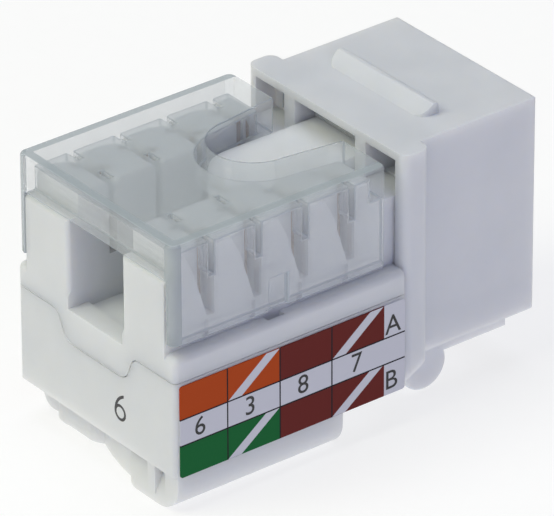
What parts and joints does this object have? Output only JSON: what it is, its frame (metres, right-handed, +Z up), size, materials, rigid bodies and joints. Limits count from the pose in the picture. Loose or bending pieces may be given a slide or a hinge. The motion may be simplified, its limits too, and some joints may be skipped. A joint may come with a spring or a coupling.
{
  "type": "keystone jack",
  "caption": "Right-angle punch-down network jack: white snap-in front housing with plug socket, two rows of wire towers, colour wiring labels and a clear lift-off dust cap.",
  "frame": {"origin": "centre of the bounding box in plan, on the plane that the jack lies on", "axes": "+X across the jack to its right seen from the rear, +Y from the rear face to the plug face, +Z up, from the underside to the wire towers"},
  "size_m": [0.0172, 0.0314, 0.021],
  "materials": {
    "housing_plastic": "satin moulded",
    "block_plastic": "satin moulded",
    "cover_plastic": "satin moulded",
    "clear_plastic": "clear polished",
    "board_laminate": "solder mask",
    "comb_plastic": "matte moulded",
    "label_right": "printed sticker",
    "label_left": "printed sticker",
    "gold_plate": "gold plated bronze",
    "bronze_plate": "plated bronze"
  },
  "bodies": {
    "root": {"front_housing": "housing_plastic", "idc_block": "block_plastic", "lower_cover": "cover_plastic", "circuit_board": "board_laminate", "contact_comb": "comb_plastic", "wiring_label_right": "label_right", "wiring_label_left": "label_left", "idc_contact_left_1": "bronze_plate", "idc_contact_left_2": "bronze_plate", "idc_contact_left_3": "bronze_plate", "idc_contact_left_4": "bronze_plate", "idc_contact_right_1": "bronze_plate", "idc_contact_right_2": "bronze_plate", "idc_contact_right_3": "bronze_plate", "idc_contact_right_4": "bronze_plate"},
    "cap": {"dust_cap": "clear_plastic"},
    "contact_spring_1": {"spring_contact_1": "gold_plate"},
    "contact_spring_2": {"spring_contact_2": "gold_plate"},
    "contact_spring_3": {"spring_contact_3": "gold_plate"},
    "contact_spring_4": {"spring_contact_4": "gold_plate"},
    "contact_spring_5": {"spring_contact_5": "gold_plate"},
    "contact_spring_6": {"spring_contact_6": "gold_plate"},
    "contact_spring_7": {"spring_contact_7": "gold_plate"},
    "contact_spring_8": {"spring_contact_8": "gold_plate"}
  },
  "joints": [
    {"name": "cap_lift", "type": "slide", "parent": "root", "child": "cap", "axis": [0, 0, 1], "range_m": [0, 0.014]},
    {"name": "contact_1_bend", "type": "hinge", "parent": "root", "child": "contact_spring_1", "pos_m": [-0.00357, 0.01255, 0.0076], "axis": [1, 0, 0], "range_deg": [0, 9], "stiffness_Nm_per_rad": 0.05},
    {"name": "contact_2_bend", "type": "hinge", "parent": "root", "child": "contact_spring_2", "pos_m": [-0.00255, 0.01255, 0.0076], "axis": [1, 0, 0], "range_deg": [0, 9], "stiffness_Nm_per_rad": 0.05},
    {"name": "contact_3_bend", "type": "hinge", "parent": "root", "child": "contact_spring_3", "pos_m": [-0.00153, 0.01255, 0.0076], "axis": [1, 0, 0], "range_deg": [0, 9], "stiffness_Nm_per_rad": 0.05},
    {"name": "contact_4_bend", "type": "hinge", "parent": "root", "child": "contact_spring_4", "pos_m": [-0.00051, 0.01255, 0.0076], "axis": [1, 0, 0], "range_deg": [0, 9], "stiffness_Nm_per_rad": 0.05},
    {"name": "contact_5_bend", "type": "hinge", "parent": "root", "child": "contact_spring_5", "pos_m": [0.00051, 0.01255, 0.0076], "axis": [1, 0, 0], "range_deg": [0, 9], "stiffness_Nm_per_rad": 0.05},
    {"name": "contact_6_bend", "type": "hinge", "parent": "root", "child": "contact_spring_6", "pos_m": [0.00153, 0.01255, 0.0076], "axis": [1, 0, 0], "range_deg": [0, 9], "stiffness_Nm_per_rad": 0.05},
    {"name": "contact_7_bend", "type": "hinge", "parent": "root", "child": "contact_spring_7", "pos_m": [0.00255, 0.01255, 0.0076], "axis": [1, 0, 0], "range_deg": [0, 9], "stiffness_Nm_per_rad": 0.05},
    {"name": "contact_8_bend", "type": "hinge", "parent": "root", "child": "contact_spring_8", "pos_m": [0.00357, 0.01255, 0.0076], "axis": [1, 0, 0], "range_deg": [0, 9], "stiffness_Nm_per_rad": 0.05}
  ]
}
